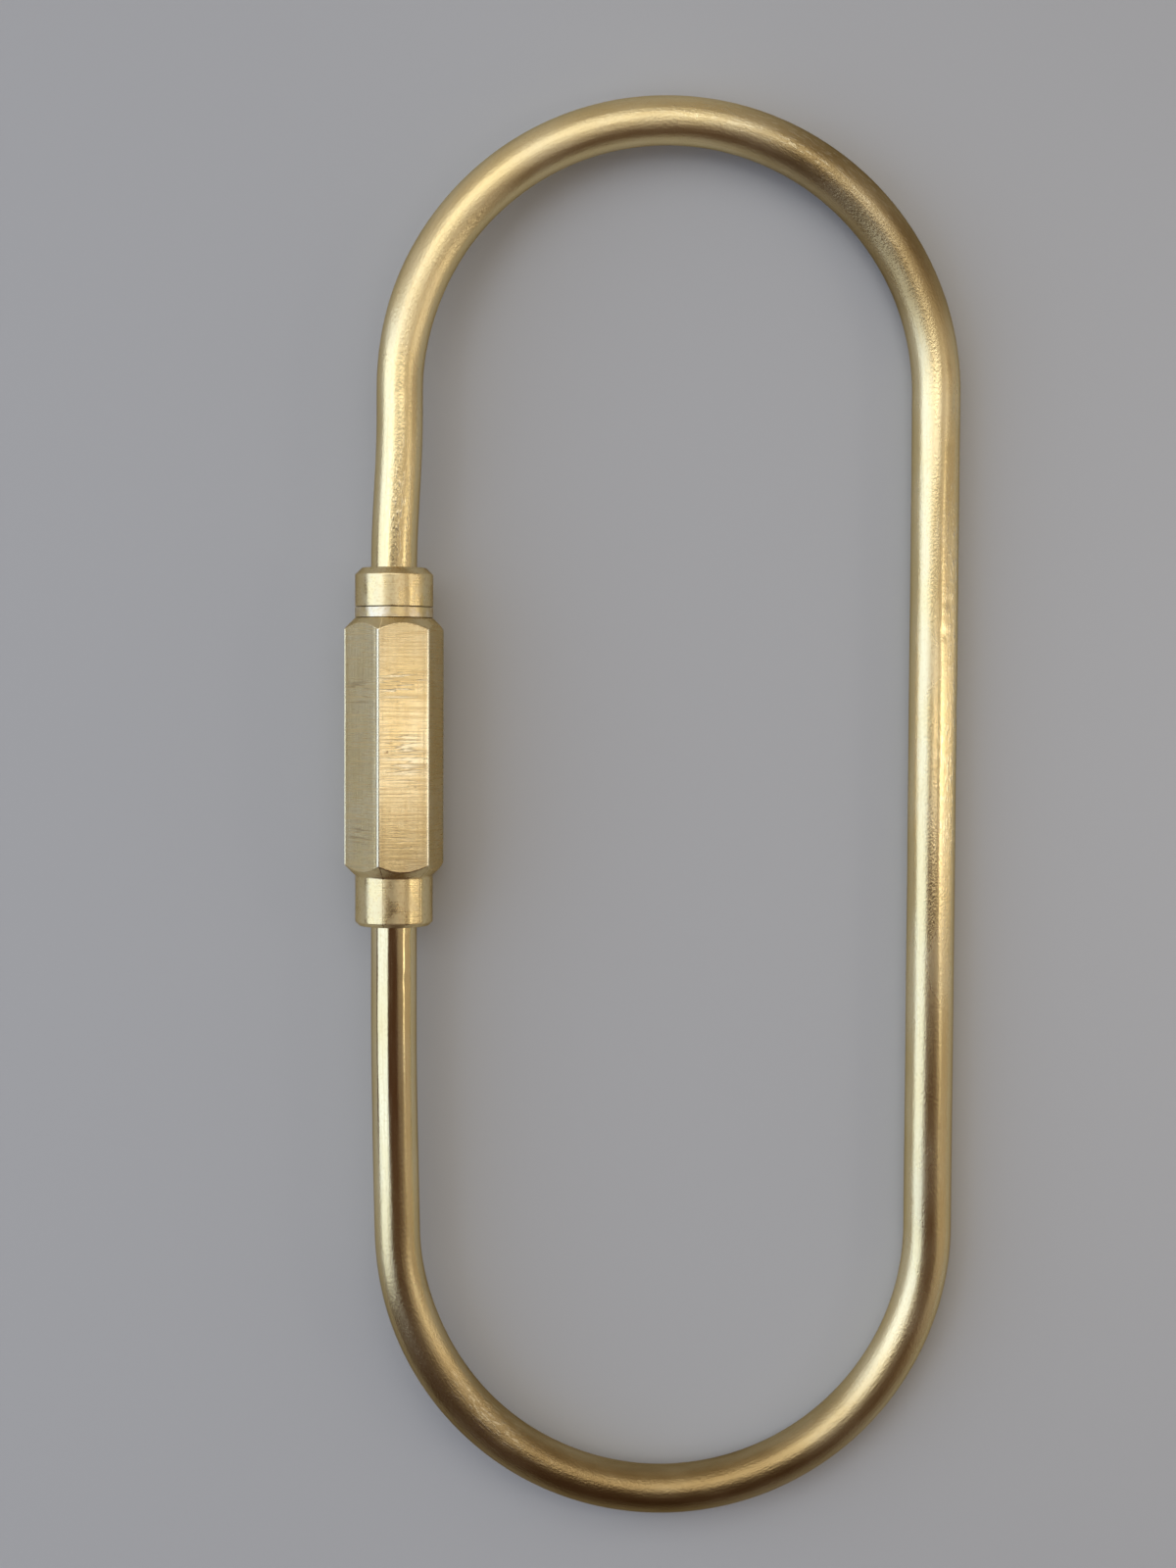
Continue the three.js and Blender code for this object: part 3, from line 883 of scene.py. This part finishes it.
def sleeve_brass():
    """Drawn hexagon stock: fine grain along the facets, mottling, fine lines and scratches across, and a
    painted highlight along the corners.
    """
    graph = Graph("sleeve_brass_drawn")
    metal(graph, 0.35, ALONG)
    place = graph.stored("lay", "Vector")
    # corner: the share of painted highlight along the hexagon's corners
    corner = graph.stored("corner", "Fac")
    scratches = graph.stored("scratched", "Fac")
    grain = graph.cloud(place, (7.0, 7.0, 0.35), 3, 0.65)
    faint = graph.cloud(place, (0.3, 0.3, 7.0), 3, 0.7)
    mottle = graph.cloud(place, (6.0, 6.0, 4.4), 4, 0.65)
    patches = graph.cloud(place, (0.45, 0.45, 0.3), 2)
    lines = graph.cloud(place, (0.35, 0.35, 4.5), 2, 0.6)
    across = graph.ranged(lines, 0.52, 0.57, 0, 1)
    bright = graph.math("MULTIPLY", across, graph.ranged(scratches, 0.05, 0.9, 0, 1))
    dark = graph.math("MULTIPLY", across, graph.ranged(scratches, -0.05, -0.8, 0, 1))
    pits = graph.ranged(graph.cloud(place, (2.6, 2.6, 1.9), 1), 0.76, 0.80, 0, 1)
    tone = graph.blend(graph.ranged(patches, 0.35, 0.65, 0, 1), BRASS, PALE_BRASS)
    tone = graph.blend(graph.ranged(mottle, 0.46, 0.66, 0, 0.25), tone, DEEP_BRASS)
    tone = graph.blend(graph.ranged(faint, 0.42, 0.66, 0, 0.6), tone, DEEP_BRASS)
    tone = graph.blend(graph.ranged(grain, 0.45, 0.7, 0, 0.5), tone, DEEP_BRASS)
    tone = graph.blend(graph.math("MULTIPLY", bright, 0.8), tone, WORN_BRASS_AND_HIGHLIGHT)
    tone = graph.blend(graph.math("MULTIPLY", dark, 0.75), tone, STAIN)
    tone = graph.blend(graph.math("MULTIPLY", pits, 0.8), tone, STAIN)
    # painted highlight along the hexagon's rounded corners
    tone = graph.blend(corner, tone, WORN_BRASS_AND_HIGHLIGHT)
    graph.join(tone, graph.shader.inputs["Base Color"])
    graph.join(graph.ranged(faint, 0.35, 0.7, 0.24, 0.30), graph.shader.inputs["Roughness"])
    height = graph.math("ADD", grain, graph.math("MULTIPLY", mottle, 0.35))
    height = graph.math("ADD", height, graph.math("MULTIPLY", faint, 0.35))
    height = graph.math("MULTIPLY", height, graph.math("SUBTRACT", 1, corner))
    normal = graph.bump(height, 0.009)
    normal = graph.bump(graph.math("MULTIPLY", bright, -1), 0.008, normal)
    graph.join(normal, graph.shader.inputs["Normal"])
    return graph.material


# ------------------------------------------------------------------ the pieces

def fit(piece, node, body, slot, *materials):
    """Puts the piece in place of the CAD's node, on its body, with its materials."""
    for material in materials:
        piece.data.materials.append(material)
    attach(piece, body)
    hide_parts(node)


fit(make_rod(), "wire_loop", "ring", "rod_brass", rod_brass())
fit(
    make_stop_collar(), "stop_collar", "ring", "collar_brass",
    turned_brass("collar_brass_turned", 0.28, 0.6, PALE_BRASS),
)
fit(
    make_washer(), "thrust_washer", "washer", "washer_brass",
    turned_brass("washer_brass_faced", 0.34, 1.0, FACED_BRASS),
)
fit(
    make_sleeve(), "hex_sleeve", "sleeve", "sleeve_brass",
    sleeve_brass(), turned_brass("sleeve_brass_turned", 0.28, 0.5, PALE_BRASS),
)


# ------------------------------------------------------------------ floor, light and camera

FLOOR_HALF = 3.0                        # metres
FLOOR_COLOUR = (0.552, 0.57, 0.59, 1)
FLOOR_ROUGHNESS = 0.95


def make_floor():
    """A plain pale floor at the height where the ring rests."""
    low, high = -FLOOR_HALF, FLOOR_HALF
    mesh = bpy.data.meshes.new("floor")
    corners = [(low, low, 0), (high, low, 0), (high, high, 0), (low, high, 0)]
    mesh.from_pydata(corners, [], [[0, 1, 2, 3]])
    floor = bpy.data.objects.new("floor", mesh)
    bpy.context.scene.collection.objects.link(floor)
    graph = Graph("pale_floor")
    graph.shader.inputs["Base Color"].default_value = FLOOR_COLOUR
    graph.shader.inputs["Roughness"].default_value = FLOOR_ROUGHNESS
    mesh.materials.append(graph.material)


def panel(name, place, aim, size, watts, colour):
    """A soft rectangular light at place, facing aim. Millimetres."""
    light = bpy.data.lights.new(name, "AREA")
    light.shape = "RECTANGLE"
    light.size, light.size_y = size[0] * MM, size[1] * MM
    light.energy = watts
    light.color = colour
    lamp = bpy.data.objects.new(name, light)
    lamp.location = Vector(place) * MM
    toward = Vector(aim) - Vector(place)
    lamp.rotation_euler = toward.to_track_quat("-Z", "Y").to_euler()
    lamp.visible_camera = False
    bpy.context.scene.collection.objects.link(lamp)


def make_lights():
    """A large window on the left, a small one on the right, and three soft lamps close by."""
    panel("window", (-260, -10, 245), (0, -10, 245), (280, 410), 0.48, (0.77, 0.94, 1.22))
    panel("side_lamp", (92, 1, 38), (10, 1, 0), (24, 50), 0.0056, (1.0, 0.93, 0.84))
    panel("right_window", (330, -9, 235), (0, -9, 0), (130, 42), 0.036, (1.0, 0.93, 0.80))
    panel("upper_lamp", (33, 2, 105), (33, 2, 0), (56, 14), 0.0043, (1.0, 0.94, 0.88))
    panel("far_lamp", (15, 49, 105), (15, 49, 0), (42, 26), 0.0042, (1.0, 0.99, 0.95))


# The soft glows of the room: compass angle from +X toward +Y and height in degrees, the angles
# from the glow's middle at which it starts to fade and ends, and its colour.
GLOWS = [
    ("far_left_high", 120, 66, 12, 34, (1.45, 1.45, 1.42)),
    ("far_left_low", 140, 22, 10, 45, (0.36, 0.35, 0.33)),
    ("far_low", 80, 8, 10, 50, (0.26, 0.24, 0.19)),
    ("right_high", 26, 52, 8, 30, (0.50, 0.46, 0.40)),
    ("right_low", 0, 10, 10, 45, (0.34, 0.31, 0.26)),
]
DIM_ROOM = (0.066, 0.034, 0.022, 1)
OVERHEAD = ("overhead", 262, 69, 24, 29)    # where the room is dark above the ring


def make_world():
    """A dim room, dark overhead, with soft pale glows on its far and right sides."""
    world = bpy.data.worlds.new("studio")
    bpy.context.scene.world = world
    world.use_nodes = True
    nodes, links = world.node_tree.nodes, world.node_tree.links
    place = nodes.new("ShaderNodeTexCoord").outputs["Generated"]

    def nearness(name, compass, height, inner, outer):
        """1 within inner degrees of a direction, falling to 0 at outer degrees."""
        around, up = math.radians(compass), math.radians(height)
        level = math.cos(up)
        near = nodes.new("ShaderNodeVectorMath")
        near.name = name
        near.operation = "DOT_PRODUCT"
        links.new(place, near.inputs[0])
        near.inputs[1].default_value = (level * math.cos(around), level * math.sin(around), math.sin(up))
        fade = nodes.new("ShaderNodeMapRange")
        fade.interpolation_type = "SMOOTHSTEP"
        links.new(near.outputs["Value"], fade.inputs[0])
        fade.inputs[1].default_value = math.cos(math.radians(outer))
        fade.inputs[2].default_value = math.cos(math.radians(inner))
        return fade.outputs[0]

    light = nodes.new("ShaderNodeRGB").outputs[0]
    light.default_value = DIM_ROOM
    for name, compass, height, inner, outer, colour in GLOWS:
        glow = nodes.new("ShaderNodeVectorMath")
        glow.operation = "MULTIPLY_ADD"
        links.new(nearness(name, compass, height, inner, outer), glow.inputs[0])
        glow.inputs[1].default_value = colour
        links.new(light, glow.inputs[2])
        light = glow.outputs[0]
    shade = nodes.new("ShaderNodeMix")
    shade.data_type = "RGBA"
    links.new(nearness(*OVERHEAD), shade.inputs["Factor"])
    links.new(light, shade.inputs[MIX_A])
    shade.inputs[MIX_B].default_value = DIM_ROOM
    links.new(shade.outputs[MIX_RESULT], nodes["Background"].inputs["Color"])


# The camera looks almost straight down, with a small tilt and roll. Its target and distance are
# millimetres in the frame.
CAMERA_TARGET = (-4.047, 1.820, 2.2975)
CAMERA_DISTANCE = 147.601
CAMERA_TILT = math.radians(2.609)
CAMERA_ROLL = math.radians(0.252)
CAMERA_LENS = 54.0
SENSOR = 36.0
CAMERA_CLIP = (0.01, 50)


def make_camera():
    """The photograph's view."""
    data = bpy.data.cameras.new("camera")
    data.sensor_fit = "AUTO"
    data.sensor_width = SENSOR
    data.lens = CAMERA_LENS
    data.clip_start, data.clip_end = CAMERA_CLIP
    camera = bpy.data.objects.new("camera", data)
    level = Vector((-math.sin(CAMERA_ROLL), math.cos(CAMERA_ROLL), 0))
    back = math.cos(CAMERA_TILT) * Vector((0, 0, 1)) + math.sin(CAMERA_TILT) * level
    up = math.cos(CAMERA_TILT) * level - math.sin(CAMERA_TILT) * Vector((0, 0, 1))
    right = up.cross(back)
    turn = Matrix((right, up, back)).transposed().to_4x4()
    place = (Vector(CAMERA_TARGET) + back * CAMERA_DISTANCE) * MM
    camera.matrix_world = Matrix.Translation(place) @ turn
    bpy.context.scene.collection.objects.link(camera)
    bpy.context.scene.camera = camera


make_floor()
make_lights()
make_world()
make_camera()
bpy.context.scene.view_settings.view_transform = "Standard"
bpy.context.view_layer.update()
